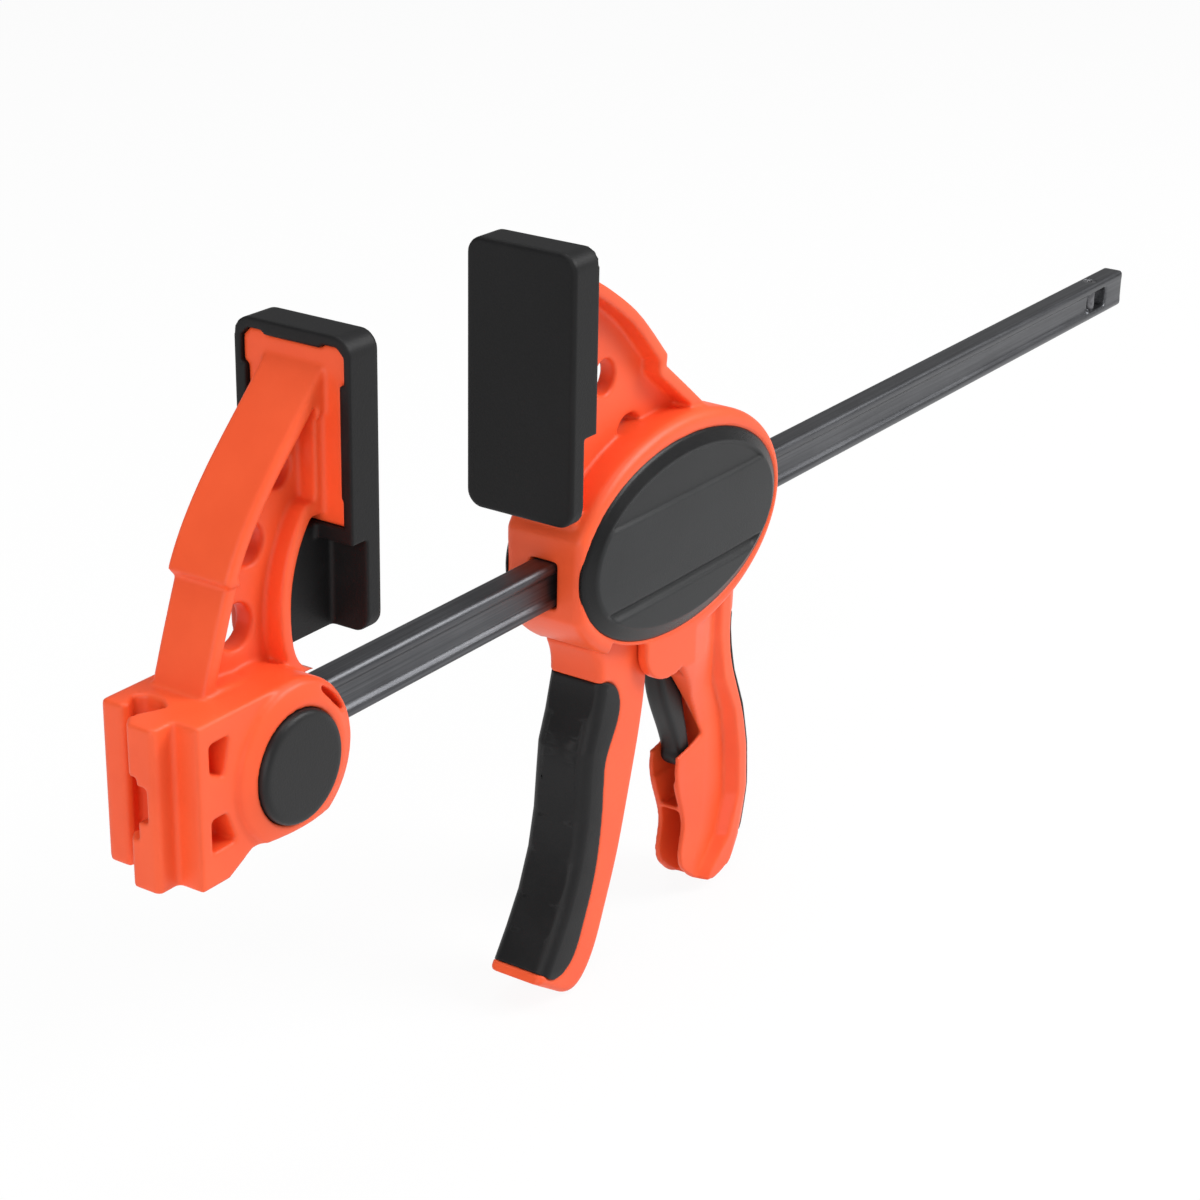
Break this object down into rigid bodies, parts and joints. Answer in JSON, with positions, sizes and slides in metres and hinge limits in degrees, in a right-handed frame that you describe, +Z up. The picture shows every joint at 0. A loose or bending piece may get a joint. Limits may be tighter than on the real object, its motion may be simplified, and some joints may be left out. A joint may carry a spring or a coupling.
{
  "type": "quick release bar clamp",
  "caption": "Bar clamp with a squeeze lever and release trigger on a sliding pistol grip head, and a removable fixed jaw locked by a push button.",
  "frame": {"origin": "centre of the fixed jaw's clamping face", "axes": "+X along the bar, away from the fixed jaw; +Z up, towards the jaws' tips; the push button faces -Y"},
  "size_m": [0.4975, 0.0362, 0.2084],
  "materials": {
    "orange_shell": "fine moulded texture, satin",
    "black_pad": "soft matte",
    "black_grip": "soft matte overmould",
    "grey_cover": "fine moulded texture",
    "dark_control": "satin",
    "bar_steel": "dark drawn steel, satin",
    "plate_steel": "hardened, plain",
    "pin_steel": "bright",
    "spring_steel": "bright"
  },
  "bodies": {
    "bar_and_fixed_jaw": {"bar": "bar_steel", "jaw_end_pin": "pin_steel", "bar_end_pin": "pin_steel", "fixed_jaw_body": "orange_shell", "fixed_jaw_pad": "black_pad", "lock_cap": "dark_control", "button_spring": "spring_steel"},
    "button": {"push_button": "dark_control", "lock_yoke": "plate_steel"},
    "head": {"head_body": "orange_shell", "moving_jaw_pad": "black_pad", "right_side_cover": "grey_cover", "left_side_cover": "grey_cover", "handle_grip": "black_grip", "lever_pivot_pin": "pin_steel", "drive_spring": "spring_steel", "brake_spring": "spring_steel"},
    "lever": {"lever": "orange_shell", "lever_grip": "black_grip"},
    "drive_plates": {"front_drive_plate": "plate_steel", "rear_drive_plate": "plate_steel"},
    "brake": {"brake_plate": "plate_steel", "release_trigger": "dark_control"}
  },
  "joints": [
    {"name": "head_slide", "type": "slide", "parent": "bar_and_fixed_jaw", "child": "head", "axis": [1, 0, 0], "range_m": [-0.0737, 0.219]},
    {"name": "button_press", "type": "slide", "parent": "bar_and_fixed_jaw", "child": "button", "axis": [0, 1, 0], "range_m": [0, 0.0033], "stiffness_N_per_m": 1500, "springref_m": -0.002, "deforming": ["button_spring"]},
    {"name": "lever_squeeze", "type": "hinge", "parent": "head", "child": "lever", "pos_m": [0.108, 0, -0.04005], "axis": [0, -1, 0], "range_deg": [0, 17], "stiffness_Nm_per_rad": 1.2, "springref_deg": -11.46},
    {"name": "drive_slide", "type": "slide", "parent": "head", "child": "drive_plates", "axis": [1, 0, 0], "range_m": [0, 0.0046], "deforming": ["drive_spring"]},
    {"name": "brake_release", "type": "hinge", "parent": "head", "child": "brake", "pos_m": [0.147, 0, -0.03805], "axis": [0, -1, 0], "range_deg": [0, 3.5], "stiffness_Nm_per_rad": 3, "springref_deg": -5.73, "deforming": ["brake_spring"]}
  ],
  "couplings": [
    {"joint": "drive_slide", "follows": "lever_squeeze", "m_per_rad": 0.0155}
  ]
}
